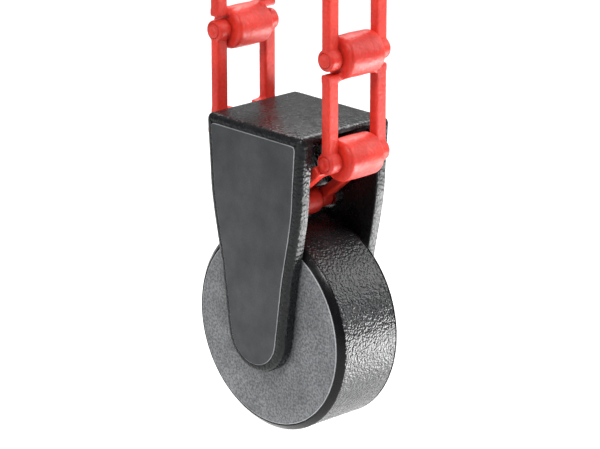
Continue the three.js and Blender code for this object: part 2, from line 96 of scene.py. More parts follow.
@dataclass(frozen=True)
class Finish:
    """One surface finish, which makes its own node material."""

    name: str
    colour: Triple
    second: Triple
    rough: Point
    grain: Grain
    cells: float
    relief: float
    metallic: float = 0.0
    coat: float = 0.0
    coat_rough: float = 0.15
    specular: float = 0.5
    speckle: float = 0.15

    DRIFT: ClassVar[float] = 45.0  # features per metre of the slow change of colour
    WEAR: ClassVar[float] = 140.0  # features per metre of the change of gloss

    def material(self) -> bpy.types.Material:
        """Makes the material, or finds it if it is already made.

        Returns:
            The node material.
        """
        found = bpy.data.materials.get(self.name)
        if found:
            return found
        made = bpy.data.materials.new(self.name)
        made.use_nodes = True
        made.diffuse_color = (*self.colour, 1.0)
        tree = made.node_tree
        shader = tree.nodes["Principled BSDF"]
        shader.inputs["Metallic"].default_value = self.metallic
        shader.inputs["Coat Weight"].default_value = self.coat
        shader.inputs["Coat Roughness"].default_value = self.coat_rough
        shader.inputs["Specular IOR Level"].default_value = self.specular
        place = tree.nodes.new("ShaderNodeTexCoord").outputs["Object"]
        drift = self._noise(tree, place, self.DRIFT, 3.0)
        specks = self._noise(tree, place, self.cells * 1.3, 2.0)
        tint = self._mix(tree, drift, self.colour, self.second)
        shade = self._range(tree, specks, (0.36, 0.64), (1.0 - self.speckle, 1.0 + self.speckle))
        scaled = tree.nodes.new("ShaderNodeVectorMath")
        scaled.operation = "SCALE"
        tree.links.new(tint, scaled.inputs[0])
        tree.links.new(shade, scaled.inputs["Scale"])
        tree.links.new(scaled.outputs[0], shader.inputs["Base Color"])
        wear = self._noise(tree, place, self.WEAR, 5.0)
        tree.links.new(self._range(tree, wear, (0.3, 0.7), self.rough), shader.inputs["Roughness"])
        bump = tree.nodes.new("ShaderNodeBump")
        bump.inputs["Strength"].default_value = 1.0
        bump.inputs["Distance"].default_value = self.relief
        tree.links.new(self._height(tree, place), bump.inputs["Height"])
        tree.links.new(bump.outputs["Normal"], shader.inputs["Normal"])
        return made

    def _noise(
        self, tree: Tree, place: Socket, scale: float, detail: float
    ) -> Socket:
        """Adds a noise pattern.

        Args:
            tree: The material's node tree.
            place: The coordinates it reads.
            scale: Its features per metre.
            detail: How many finer layers it has.

        Returns:
            The socket that holds its strength, from 0 to 1.
        """
        node = tree.nodes.new("ShaderNodeTexNoise")
        node.inputs["Scale"].default_value = scale
        node.inputs["Detail"].default_value = detail
        tree.links.new(place, node.inputs["Vector"])
        return node.outputs["Fac"]

    def _mix(
        self,
        tree: Tree,
        share: Socket,
        first: Triple,
        second: Triple,
    ) -> Socket:
        """Mixes two colours by a pattern.

        Args:
            tree: The material's node tree.
            share: The pattern.
            first: The colour where the pattern is low.
            second: The colour where it is high.

        Returns:
            The mixed colour's socket.
        """
        node = tree.nodes.new("ShaderNodeValToRGB")
        node.color_ramp.elements[0].position = 0.35
        node.color_ramp.elements[0].color = (*first, 1.0)
        node.color_ramp.elements[1].position = 0.65
        node.color_ramp.elements[1].color = (*second, 1.0)
        tree.links.new(share, node.inputs["Fac"])
        return node.outputs["Color"]

    def _range(
        self, tree: Tree, value: Socket, source: Point, target: Point
    ) -> Socket:
        """Maps a pattern from one range of values to another.

        Args:
            tree: The material's node tree.
            value: The pattern.
            source: Its lowest and highest value.
            target: What they become.

        Returns:
            The mapped value's socket.
        """
        node = tree.nodes.new("ShaderNodeMapRange")
        for key, number in zip(("From Min", "From Max", "To Min", "To Max"), (*source, *target)):
            node.inputs[key].default_value = number
        tree.links.new(value, node.inputs["Value"])
        return node.outputs["Result"]

    def _height(
        self, tree: Tree, place: Socket
    ) -> Socket:
        """Draws the small relief of this finish's grain.

        Args:
            tree: The material's node tree.
            place: The coordinates it reads.

        Returns:
            The height's socket.
        """
        if self.grain is Grain.HIDE:
            node = tree.nodes.new("ShaderNodeTexVoronoi")
            node.feature = "SMOOTH_F1"
            node.inputs["Scale"].default_value = self.cells
            tree.links.new(place, node.inputs["Vector"])
            height = self._range(tree, node.outputs["Distance"], (0.0, 0.8), (1.0, 0.0))
            height.node.interpolation_type = "SMOOTHSTEP"
            return height
        if self.grain in (Grain.BRUSHED, Grain.WOVEN):
            mapping = tree.nodes.new("ShaderNodeMapping")
            stretch = (1.0, 0.06, 0.06) if self.grain is Grain.BRUSHED else (1.0, 0.35, 0.35)
            mapping.inputs["Scale"].default_value = stretch
            tree.links.new(place, mapping.inputs["Vector"])
            return self._noise(tree, mapping.outputs["Vector"], self.cells, 3.0)
        detail = 1.0 if self.grain is Grain.CAST else 4.0
        return self._noise(tree, place, self.cells, detail)


RED_ENAMEL = Finish(
    "red_enamel", (0.70, 0.037, 0.020), (0.57, 0.025, 0.015), (0.34, 0.52), Grain.CAST, 420.0, 0.00022,
    specular=0.4, speckle=0.08,
)
YOKE_BLACK = Finish(
    "yoke_black", (0.007, 0.008, 0.009), (0.012, 0.013, 0.014), (0.20, 0.34), Grain.HIDE, 560.0, 0.00020,
    specular=0.26,
)
COVER_CHARCOAL = Finish(
    "cover_charcoal", (0.028, 0.031, 0.034), (0.050, 0.054, 0.058), (0.42, 0.58), Grain.FINE, 1100.0, 0.00007,
    specular=0.4,
)
# Painted highlight: a lighter grey for the panel's rounded edge, standing in for the thin line of light along
# that edge.
COVER_EDGE_PAINTED_HIGHLIGHT = Finish(
    "cover_edge_painted_highlight", (0.20, 0.21, 0.22), (0.34, 0.35, 0.36), (0.26, 0.40), Grain.FINE, 1100.0, 0.00004,
)
FACE_GREY = Finish(
    "face_grey", (0.13, 0.136, 0.143), (0.19, 0.197, 0.205), (0.50, 0.66), Grain.FINE, 560.0, 0.00016,
    specular=0.4, speckle=0.42,
)
# Painted highlight: a lighter grey for the face disc's outer edge, standing in for the line of light along
# the rim.
FACE_EDGE_PAINTED_HIGHLIGHT = Finish(
    "face_edge_painted_highlight", (0.42, 0.43, 0.45), (0.56, 0.57, 0.59), (0.26, 0.40), Grain.FINE, 1100.0, 0.00004,
)
RIM_BLACK = Finish(
    "rim_black", (0.004, 0.004, 0.005), (0.007, 0.007, 0.008), (0.20, 0.32), Grain.FINE, 1100.0, 0.00003,
    specular=0.22,
)
TREAD_RUBBER = Finish(
    "tread_rubber", (0.012, 0.013, 0.014), (0.022, 0.023, 0.025), (0.18, 0.32), Grain.HIDE, 950.0, 0.00022,
    speckle=0.3,
)
OUTLET_BLACK = Finish(
    "outlet_black", (0.010, 0.010, 0.011), (0.018, 0.018, 0.020), (0.18, 0.35), Grain.FINE, 900.0, 0.00003,
)
ZINC = Finish(
    "zinc_plate", (0.50, 0.51, 0.53), (0.62, 0.62, 0.61), (0.28, 0.48), Grain.CAST, 500.0, 0.00005,
    metallic=1.0, speckle=0.08,
)
BRIGHT_STEEL = Finish(
    "bright_steel", (0.46, 0.47, 0.49), (0.58, 0.58, 0.58), (0.20, 0.38), Grain.BRUSHED, 2600.0, 0.00003,
    metallic=1.0, speckle=0.06,
)
BLUED_STEEL = Finish(
    "blued_steel", (0.10, 0.12, 0.17), (0.17, 0.17, 0.19), (0.25, 0.42), Grain.BRUSHED, 2000.0, 0.00003,
    metallic=1.0,
)
BRONZE = Finish(
    "sintered_bronze", (0.48, 0.28, 0.11), (0.36, 0.21, 0.09), (0.34, 0.55), Grain.FINE, 1800.0, 0.00004,
    metallic=1.0,
)
NYLON_GREY = Finish(
    "nylon_grey", (0.28, 0.29, 0.30), (0.34, 0.34, 0.35), (0.45, 0.60), Grain.FINE, 900.0, 0.00004,
)
WEBBING_BLACK = Finish(
    "webbing_black", (0.022, 0.022, 0.024), (0.040, 0.040, 0.043), (0.75, 0.92), Grain.WOVEN, 1600.0, 0.00025,
    speckle=0.3,
)


# ---------------------------------------------------------------- modelling


class Bench:
    """The modelling operations that the sub-assemblies share. Sizes given to it are in millimetres."""

    @staticmethod
    def clear() -> None:
        """Leaves edit mode and selects nothing."""
        if bpy.context.mode != "OBJECT":
            bpy.ops.object.mode_set(mode="OBJECT")
        bpy.ops.object.select_all(action="DESELECT")

    @staticmethod
    def take(piece: Piece) -> None:
        """Makes one piece the only selected one, and the active one."""
        Bench.clear()
        piece.select_set(True)
        bpy.context.view_layer.objects.active = piece

    @staticmethod
    def edit(piece: Piece) -> None:
        """Opens one piece in edit mode, in vertex selection, with all of it selected."""
        Bench.take(piece)
        bpy.ops.object.mode_set(mode="EDIT")
        bpy.ops.mesh.select_mode(type="VERT")
        bpy.ops.mesh.select_all(action="SELECT")

    @staticmethod
    def chain(name: str, points: Sequence[Vector]) -> Piece:
        """Draws a chain of edges by extruding one vertex from point to point.

        Args:
            name: The new piece's name.
            points: Where the chain goes, in metres.

        Returns:
            The piece, which holds only the chain.
        """
        Bench.clear()
        bpy.ops.mesh.primitive_plane_add(size=0.001)
        piece = bpy.context.object
        piece.name = name
        Bench.edit(piece)
        bpy.ops.mesh.merge(type="CENTER")
        bpy.ops.transform.translate(value=points[0])
        for start, end in zip(points, points[1:]):
            bpy.ops.mesh.extrude_region_move(TRANSFORM_OT_translate={"value": end - start})
        Bench.clear()
        return piece

    @staticmethod
    def turned(name: str, profile: Sequence[Point], steps: int = 96) -> Piece:
        """Spins a profile about the X axis.

        Args:
            name: The new piece's name.
            profile: Its (x, radius) corners. It starts and ends on the axis, or comes back to its start.
            steps: How many steps the turn has.

        Returns:
            The closed piece.
        """
        piece = Bench.chain(name, [Vector((x, 0.0, r)) * MM for x, r in profile])
        Bench.edit(piece)
        bpy.ops.mesh.spin(steps=steps, angle=2 * math.pi, center=(0, 0, 0), axis=(1, 0, 0))
        bpy.ops.mesh.select_all(action="SELECT")
        bpy.ops.mesh.remove_doubles(threshold=MERGE)
        bpy.ops.mesh.normals_make_consistent(inside=False)
        Bench.clear()
        return piece

    @staticmethod
    def drawn(name: str, outline: Sequence[Point], x0: float, x1: float) -> Piece:
        """Fills an outline in the YZ plane and extrudes it along X.

        Args:
            name: The new piece's name.
            outline: Its (y, z) corners, in order, without a repeat of the first.
            x0: Where it starts.
            x1: Where it ends.

        Returns:
            The closed piece.
        """
        ring = [*outline, outline[0]]
        piece = Bench.chain(name, [Vector((x0, y, z)) * MM for y, z in ring])
        return Bench.thicken(piece, (x1 - x0, 0, 0))

    @staticmethod
    def thicken(piece: Piece, step: Triple) -> Piece:
        """Fills a closed chain of edges and extrudes it into a solid.

        Args:
            piece: The piece, which holds only the chain.
            step: How far the chain is extruded, in millimetres.

        Returns:
            The same piece, now closed.
        """
        Bench.edit(piece)
        bpy.ops.mesh.remove_doubles(threshold=MERGE)
        bpy.ops.mesh.edge_face_add()
        value = tuple(number * MM for number in step)
        bpy.ops.mesh.extrude_region_move(TRANSFORM_OT_translate={"value": value})
        bpy.ops.mesh.select_all(action="SELECT")
        bpy.ops.mesh.normals_make_consistent(inside=False)
        Bench.clear()
        return piece

    @staticmethod
    def block(name: str, low: Sequence[float], high: Sequence[float]) -> Piece:
        """Adds a box from its lowest to its highest corner, to be shaped further.

        Args:
            name: The new piece's name.
            low: Its lowest corner.
            high: Its highest corner.

        Returns:
            The box.
        """
        a, b = Vector(low) * MM, Vector(high) * MM
        Bench.clear()
        bpy.ops.mesh.primitive_cube_add(size=1.0, location=(a + b) / 2)
        piece = bpy.context.object
        piece.name = name
        piece.scale = b - a
        Bench.settle(piece)
        return piece

    @staticmethod
    def settle(piece: Piece, move: Vector | None = None, turn_x: float = 0.0) -> Piece:
        """Puts a piece's place, turn and scale into its mesh.

        Args:
            piece: The piece.
            move: How far it moves first, in metres.
            turn_x: How far it turns about the X axis first, in radians.

        Returns:
            The same piece, with its object at the origin.
        """
        if move is not None:
            piece.location = move
        piece.rotation_euler = (turn_x, 0.0, 0.0)
        Bench.take(piece)
        bpy.ops.object.transform_apply(location=True, rotation=True, scale=True)
        return piece

    @staticmethod
    def pick_edges(piece: Piece, rule: Rule) -> None:
        """Opens a piece with only the edges that a rule accepts selected.

        Args:
            piece: The piece.
            rule: Takes an edge's two ends, in millimetres.
        """
        Bench.edit(piece)
        bpy.ops.mesh.select_mode(type="EDGE")
        bpy.ops.mesh.select_all(action="DESELECT")
        bpy.ops.object.mode_set(mode="OBJECT")
        points = [v.co / MM for v in piece.data.vertices]
        for edge in piece.data.edges:
            edge.select = rule(points[edge.vertices[0]], points[edge.vertices[1]])
        bpy.ops.object.mode_set(mode="EDIT")

    @staticmethod
    def pick_faces(piece: Piece, rule: Rule) -> None:
        """Opens a piece with only the faces that a rule accepts selected.

        Args:
            piece: The piece.
            rule: Takes a face's centre, in millimetres, and its normal.
        """
        Bench.edit(piece)
        bpy.ops.mesh.select_mode(type="FACE")
        bpy.ops.mesh.select_all(action="DESELECT")
        bpy.ops.object.mode_set(mode="OBJECT")
        for face in piece.data.polygons:
            face.select = rule(face.center / MM, face.normal)
        bpy.ops.object.mode_set(mode="EDIT")

    @staticmethod
    def round_edges(
        piece: Piece, rule: Rule, width: float, segments: int = 4
    ) -> None:
        """Rounds the edges that a rule accepts.

        Args:
            piece: The piece.
            rule: Takes an edge's two ends, in millimetres.
            width: The rounding's radius.
            segments: How many faces it has across.
        """
        Bench.pick_edges(piece, rule)
        bpy.ops.mesh.bevel(offset=width * MM, segments=segments, affect="EDGES", clamp_overlap=False)
        Bench.clear()

    @staticmethod
    def modify(piece: Piece, kind: str, **settings: object) -> None:
        """Adds a modifier to a piece and applies it.

        Args:
            piece: The piece.
            kind: The modifier's type.
            settings: Its settings, by name.
        """
        modifier = piece.modifiers.new(kind.lower(), kind)
        for key, value in settings.items():
            setattr(modifier, key, value)
        Bench.take(piece)
        bpy.ops.object.modifier_apply(modifier=modifier.name)

    @staticmethod
    def carve(piece: Piece, tool: Piece, operation: str = "DIFFERENCE") -> None:
        """Cuts a piece with a tool, or joins the two, and throws the tool away.

        Args:
            piece: The piece.
            tool: The other shape.
            operation: DIFFERENCE, UNION or INTERSECT.
        """
        Bench.modify(piece, "BOOLEAN", object=tool, operation=operation, solver="EXACT")
        bpy.data.objects.remove(tool)

    @staticmethod
    def join(pieces: Sequence[Piece]) -> Piece:
        """Joins pieces into the first of them.

        Args:
            pieces: The pieces.

        Returns:
            The first piece, which now holds them all.
        """
        Bench.take(pieces[0])
        for piece in pieces[1:]:
            piece.select_set(True)
        bpy.ops.object.join()
        return pieces[0]

    @staticmethod
    def copy(piece: Piece, name: str) -> Piece:
        """Copies a piece with a mesh of its own.

        Args:
            piece: The piece.
            name: The copy's name.

        Returns:
            The copy.
        """
        made = piece.copy()
        made.data = piece.data.copy()
        made.name = name
        bpy.context.scene.collection.objects.link(made)
        return made

    @staticmethod
    def smooth(piece: Piece, degrees: float = 32.0) -> Piece:
        """Shades a piece smooth wherever its faces meet at less than an angle.

        Args:
            piece: The piece.
            degrees: The angle.

        Returns:
            The same piece.
        """
        Bench.take(piece)
        bpy.ops.object.shade_smooth_by_angle(angle=math.radians(degrees))
        return piece


def upright(a: Vector, b: Vector) -> bool:
    """Whether an edge with these ends, in millimetres, climbs more than a millimetre."""
    return abs(a.z - b.z) > 1


def repaint(piece: Piece, finish: Finish, rule: Rule) -> None:
    """Gives some of a piece's faces a finish of their own.

    Args:
        piece: The piece, already in place and finished.
        finish: The other finish.
        rule: Takes a face's centre, in millimetres, and its normal.
    """
    Bench.pick_faces(piece, rule)
    piece.data.materials.append(finish.material())
    piece.active_material_index = len(piece.data.materials) - 1
    bpy.ops.object.material_slot_assign()
    Bench.clear()


def fit(piece: Piece, body: str, slot: str, finish: Finish, *nodes: str) -> Piece:
    """Finishes a piece and hangs it on the frame.

    Args:
        piece: The piece, in place.
        body: The body that it moves with.
        slot: The record's material slot; not used.
        finish: Its finish.
        nodes: The solids that it stands for.

    Returns:
        The same piece.
    """
    piece.data.materials.clear()
    piece.data.materials.append(finish.material())
    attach(piece, body)
    if nodes:
        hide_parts(*nodes)
    LOG.info("%s: %d faces, on %s", piece.name, len(piece.data.polygons), body)
    return piece


def arc(centre: Point, radius: float, start: float, end: float, steps: int) -> list[Point]:
    """Points along an arc, both ends included.

    Args:
        centre: Its middle.
        radius: Its radius.
        start: Its first angle, in degrees.
        end: Its last angle, in degrees.
        steps: How many steps it has.

    Returns:
        The points.
    """
    turns = [math.radians(start + (end - start) * i / steps) for i in range(steps + 1)]
    return [(centre[0] + radius * math.cos(t), centre[1] + radius * math.sin(t)) for t in turns]


def bezier(corners: Sequence[Point], steps: int) -> list[Point]:
    """Points along a Bezier curve of any degree, without its first point.

    Args:
        corners: The curve's control points.
        steps: How many steps it has.

    Returns:
        The points.
    """
    made = []
    for i in range(1, steps + 1):
        share, left = i / steps, [Vector(c) for c in corners]
        while len(left) > 1:
            left = [a.lerp(b, share) for a, b in zip(left, left[1:])]
        made.append((left[0].x, left[0].y))
    return made


# ---------------------------------------------------------------- the frame's places


@dataclass(frozen=True)
class Datum:
    """The joints' places, in metres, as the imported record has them."""

    axle: Vector
    hanger: Vector
    joints: dict[str, Vector]

    @classmethod
    def read(cls, record: dict) -> "Datum":
        """Reads the places from the record.

        Args:
            record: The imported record.

        Returns:
            The places.
        """
        found = {j["name"]: Vector(j["pos_m"]) for j in record["behaviour"]["joints"]}
        return cls(found["case_swivel"], found["yoke_rock"], found)


# ---------------------------------------------------------------- chain


@dataclass
class Link:
    """One cast link: a barrel at the origin, and two eyes one pitch below it."""

    pitch: float = 62.0
    barrel_r: float = 13.0
    barrel_half: float = 14.0
    bar_in: float = 15.0
    bar_out: float = 24.0
    bar_t: float = 6.5
    eye_r: float = 6.6
    shoulder: float = 8.8
    bore_r: float = 4.7
    barrel_soft: float = 2.4
    bar_soft: float = 1.7
    eye_soft: float = 1.3
    voxel: float = 0.55

    def build(self, name: str) -> Piece:
        """Models the link.

        Args:
            name: Its name.

        Returns:
            The link, at the origin.
        """
        parts = [self._barrel(name)]
        for side in (-1, 1):
            parts += [self._bar(side), self._shoulder(side), self._eye(side)]
        link = Bench.join(parts)
        Bench.modify(link, "REMESH", mode="VOXEL", voxel_size=self.voxel * MM, use_smooth_shade=True)
        Bench.modify(link, "SMOOTH", factor=0.5, iterations=7)
        for z in (0.0, -self.pitch):
            bore = Bench.turned("bore", [(-40, 0), (-40, self.bore_r), (40, self.bore_r), (40, 0)], 32)
            Bench.carve(link, Bench.settle(bore, Vector((0, 0, z * MM))))
        return Bench.smooth(link, 50.0)

    def _barrel(self, name: str) -> Piece:
        """Turns the barrel, with a slight crown and rounded ends."""
        half, r, soft = self.barrel_half, self.barrel_r, self.barrel_soft
        left = arc((-half + soft, r - 0.3 - soft), soft, 180, 90, 5)
        right = arc((half - soft, r - 0.3 - soft), soft, 90, 0, 5)
        return Bench.turned(name, [(-half, 0), *left, (0, r), *right, (half, 0)], 64)

    def _bar(self, side: int) -> Piece:
        """Shapes one side bar, with rounded edges."""
        x0, x1 = sorted((side * self.bar_in, side * self.bar_out))
        half = self.bar_t / 2
        bar = Bench.block("bar", (x0, -half, -self.pitch), (x1, half, -self.shoulder))
        Bench.round_edges(bar, upright, self.bar_soft, 4)
        return bar

    def _shoulder(self, side: int) -> Piece:
        """Shapes the web that cranks one side bar in to the barrel."""
        half, low = self.bar_t / 2, -self.shoulder - 5.4
        outline = [(self.barrel_half - 5, low + 1.5), (self.bar_out - 2.5, low), (self.bar_out, low + 1.2)]
        outline += [(self.bar_out, -self.shoulder - 0.8), (self.bar_out - 1.2, -self.shoulder)]
        outline += [(self.barrel_half + 0.5, -self.shoulder), (self.barrel_half - 0.6, -5.0), (9.0, -5.0)]
        points = [Vector((side * x, -half, z)) * MM for x, z in [*outline, outline[0]]]
        return Bench.thicken(Bench.chain("web", points), (0, self.bar_t, 0))

    def _eye(self, side: int) -> Piece:
        """Turns one eye, with rounded edges."""
        x0, x1 = sorted((side * self.bar_in, side * self.bar_out))
        r, soft = self.eye_r, self.eye_soft
        profile = [(x0, 0), *arc((x0 + soft, r - soft), soft, 180, 90, 4)]
        profile += [*arc((x1 - soft, r - soft), soft, 90, 0, 4), (x1, 0)]
        return Bench.settle(Bench.turned("eye", profile, 48), Vector((0, 0, -self.pitch * MM)))


@dataclass
class LinkPin:
    """A pin that is peened flush in the eyes at both ends."""

    half: float = 24.7
    radius: float = 4.4

    def build(self, name: str) -> Piece:
        """Turns the pin about the origin, with a hammered hollow in each end.

        Args:
            name: Its name.

        Returns:
            The pin.
        """
        h, r = self.half, self.radius
        end = [(h - 0.9, r), (h - 0.45, r - 0.12), (h - 0.1, r - 0.5), (h, r - 1.1), (h, 2.2)]
        end += [(h - 0.25, 1.5), (h - 0.4, 0.7), (h - 0.42, 0)]
        mirrored = [(-x, y) for x, y in reversed(end)]
        return Bench.smooth(Bench.turned(name, [*mirrored, *end], 40), 40.0)


@dataclass
class ChainRuns:
    """Both runs of chain: three links and three pins in each."""

    datum: Datum
    link: Link
    pin: LinkPin
    slimmer: tuple[tuple[str, float], ...] = (("back_lower", 9.0), ("back_middle", 10.4))

    def build(self) -> None:
        """Models the links and one pin, and puts one at every place."""
        at = self.datum.joints
        hanger = self.datum.hanger
        slope = math.atan2(at["front_lower_hinge"].y - hanger.y, at["front_lower_hinge"].z - hanger.z)
        places = {
            "front_upper": (at["front_run_swing"], 0.0),
            "front_middle": (at["front_middle_hinge"], 0.0),
            "front_lower": (at["front_lower_hinge"], -slope),
            "back_lower": (hanger, math.pi + slope),
            "back_middle": (at["back_lower_hinge"], math.pi),
            "back_upper": (at["back_middle_hinge"], math.pi),
        }
        master = self.link.build("link_master")
        slimmer = dict(self.slimmer)
        for body, (place, turn) in places.items():
            name = f"{body}_link_cast"
            if body in slimmer:
                link = replace(self.link, barrel_r=slimmer[body]).build(name)
            else:
                link = Bench.copy(master, name)
            fit(Bench.settle(link, place, turn), body, "link_paint", RED_ENAMEL, f"{body}_link")
        bpy.data.objects.remove(master)
        self._pins()

    def _pins(self) -> None:
        """Puts a pin at every chain joint."""
        at = self.datum.joints
        places = {
            "front_anchor_pin": ("anchor", at["front_run_swing"]),
            "front_middle_pin": ("front_upper", at["front_middle_hinge"]),
            "front_lower_pin": ("front_middle", at["front_lower_hinge"]),
            "back_lower_pin": ("back_lower", at["back_lower_hinge"]),
            "back_middle_pin": ("back_middle", at["back_middle_hinge"]),
            "back_anchor_pin": ("anchor", at["back_run_swing"]),
        }
        master = self.pin.build("pin_master")
        for node, (body, place) in places.items():
            pin = Bench.settle(Bench.copy(master, f"{node}_rivet"), place)
            fit(pin, body, "link_paint", RED_ENAMEL, node)
        bpy.data.objects.remove(master)


# ---------------------------------------------------------------- yoke


@dataclass
class Yoke:
    """The tapered fork over the drum, and the panels let into its cheeks."""

    datum: Datum
    half_width: float = 36.5
    inner_half: float = 27.5
    cap_top: float = 130.0
    cap_under: float = 121.0
    cap_half: float = 41.6
    end_r: float = 24.6
    lean: float = 0.134
    edge_round: float = 3.5
    roof_round: float = 2.5
    cheek_round: float = 0.9
    seat_depth: float = 1.5
    cover_inset: float = 5.3
    cover_x: Point = (35.3, 37.2)
    cove_r: float = 15.2

    def outline(self, inset: float, corner: float) -> list[Point]:
        """The cheek's outline in the YZ plane, about the shaft.

        Args:
            inset: How far inside the cheek's edge it runs.
            corner: The size of its two top corners.

        Returns:
            Its points, counter-clockwise from the right foot.
        """
        r, half, top = self.end_r - inset, self.cap_half - inset, self.cap_top - inset
        lean = math.degrees(self.lean)
        flank = [(30.2 - inset, 38.0), (33.0 - inset, 54.0), (39.4 - inset, 76.0), (39.6 - inset, 95.0)]
        right = [arc((0, 0), r, -lean, -lean, 1)[0], flank[0], *bezier(flank, 14), (half, top - corner)]
        right += bezier([(half, top - corner), (half, top), (half - corner, top)], 6)
        left = [(-y, z) for y, z in reversed(right)]
        return right + left + arc((0, 0), r, 180 + lean, 360 - lean, 36)[1:-1]

    def build(self) -> None:
        """Models the fork and its two panels."""
        frame = Bench.drawn("yoke_casting", self.outline(0, 5.0), -self.half_width, self.half_width)
        side = self.half_width - NEAR
        Bench.round_edges(
            frame, lambda a, b: min(abs(a.x), abs(b.x)) > side and a.x * b.x > 0, self.edge_round, 7
        )
        self._seats(frame)
        self._hollow(frame)
        Bench.settle(frame, self.datum.axle)
        fit(Bench.smooth(frame), "yoke", "yoke_paint", YOKE_BLACK, "yoke_frame")
        for word, sign in (("left", -1), ("right", 1)):
            self._cover(word, sign)

    def _seats(self, frame: Piece) -> None:
        """Sinks the seat of a panel into each cheek."""
        side = self.half_width - NEAR
        for sign in (-1, 1):
            Bench.pick_faces(frame, lambda c, n: n.x * sign > SQUARE and c.x * sign > side)
            bpy.ops.mesh.inset(thickness=(self.cover_inset - self.edge_round - 0.3) * MM)
            step = (-sign * self.seat_depth * MM, 0, 0)
            bpy.ops.mesh.extrude_region_move(TRANSFORM_OT_translate={"value": step})
            Bench.clear()

    def _hollow(self, frame: Piece) -> None:
        """Opens the space between the cheeks, softens its edges and makes room for the low barrels."""
        x = self.inner_half
        tool = Bench.block("tool", (-x, -70, -70), (x, 70, self.cap_under))
        roof = self.cap_under - 0.1
        Bench.round_edges(
            tool, lambda a, b: min(a.z, b.z) > roof and abs(a.x - b.x) < 0.1, self.roof_round, 5
        )
        Bench.carve(frame, tool)
        top = self.cap_under - 3.0
        Bench.round_edges(
            frame,
            lambda a, b: abs(abs(a.x) - x) < NEAR and abs(abs(b.x) - x) < NEAR and (a.z + b.z) / 2 < top,
            self.cheek_round,
            3,
        )
        for name in ("front_lower_hinge", "back_lower_hinge"):
            place = self.datum.joints[name] - self.datum.axle
            cove = Bench.turned("cove", [(-x, 0), (-x, self.cove_r), (x, self.cove_r), (x, 0)], 72)
            Bench.carve(frame, Bench.settle(cove, place))

    def _cover(self, word: str, sign: int) -> None:
        """Models one cheek's panel, with a painted highlight on its rounded edge.

        Args:
            word: left or right.
            sign: -1 or 1, the way it faces along X.
        """
        x0, x1 = self.cover_x
        ends = (x0, x1) if sign > 0 else (-x1, -x0)
        panel = Bench.drawn(f"{word}_cheek_panel", self.outline(self.cover_inset, 3.0), *ends)
        face = x1 - NEAR
        Bench.round_edges(panel, lambda a, b: min(a.x * sign, b.x * sign) > face, 0.7, 4)
        Bench.settle(panel, self.datum.axle)
        fit(Bench.smooth(panel), "yoke", "cover_panel", COVER_CHARCOAL, f"{word}_cheek_cover")
        # Paints the panel's rounded edge lighter, as a painted highlight line.
        repaint(panel, COVER_EDGE_PAINTED_HIGHLIGHT, lambda c, n: 0.3 < n.x * sign < 0.97)


# ---------------------------------------------------------------- drum


